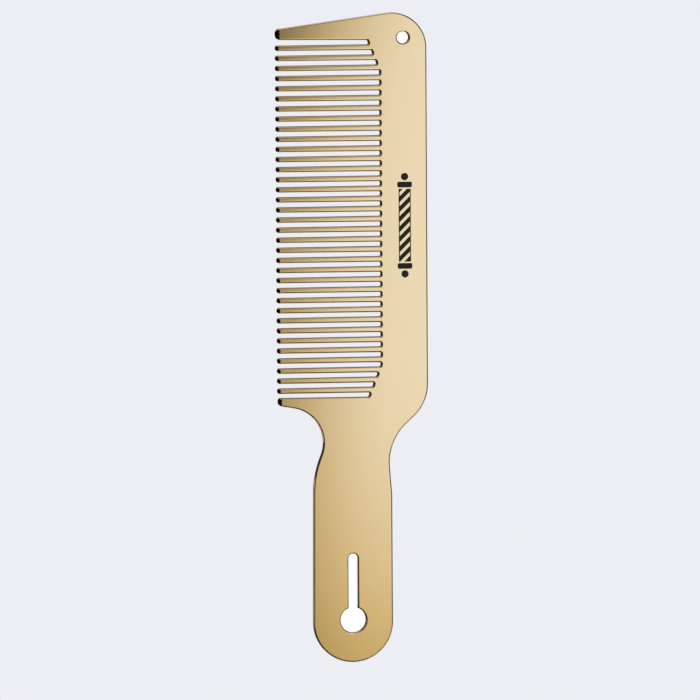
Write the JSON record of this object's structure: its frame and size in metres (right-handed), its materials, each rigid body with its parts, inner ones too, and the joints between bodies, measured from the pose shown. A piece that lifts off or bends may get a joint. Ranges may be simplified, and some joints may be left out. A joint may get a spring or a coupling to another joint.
{
  "type": "clipper comb",
  "caption": "Flat one-piece metal clipper comb with a toothed edge, straight spine, sloping nose, paddle handle, keyhole slot and small hanging hole.",
  "frame": {"origin": "middle of the comb's bounding box, on the back face that it lies on", "axes": "+Y from the end of the handle to the nose, +X from the tooth tips to the spine, +Z out of the front face"},
  "size_m": [0.0534, 0.2286, 0.0025],
  "materials": {
    "gold_metal": "satin, gold-coloured, finely brushed lengthwise, with polished edges"
  },
  "bodies": {
    "root": {"comb_plate": "gold_metal"}
  },
  "joints": []
}
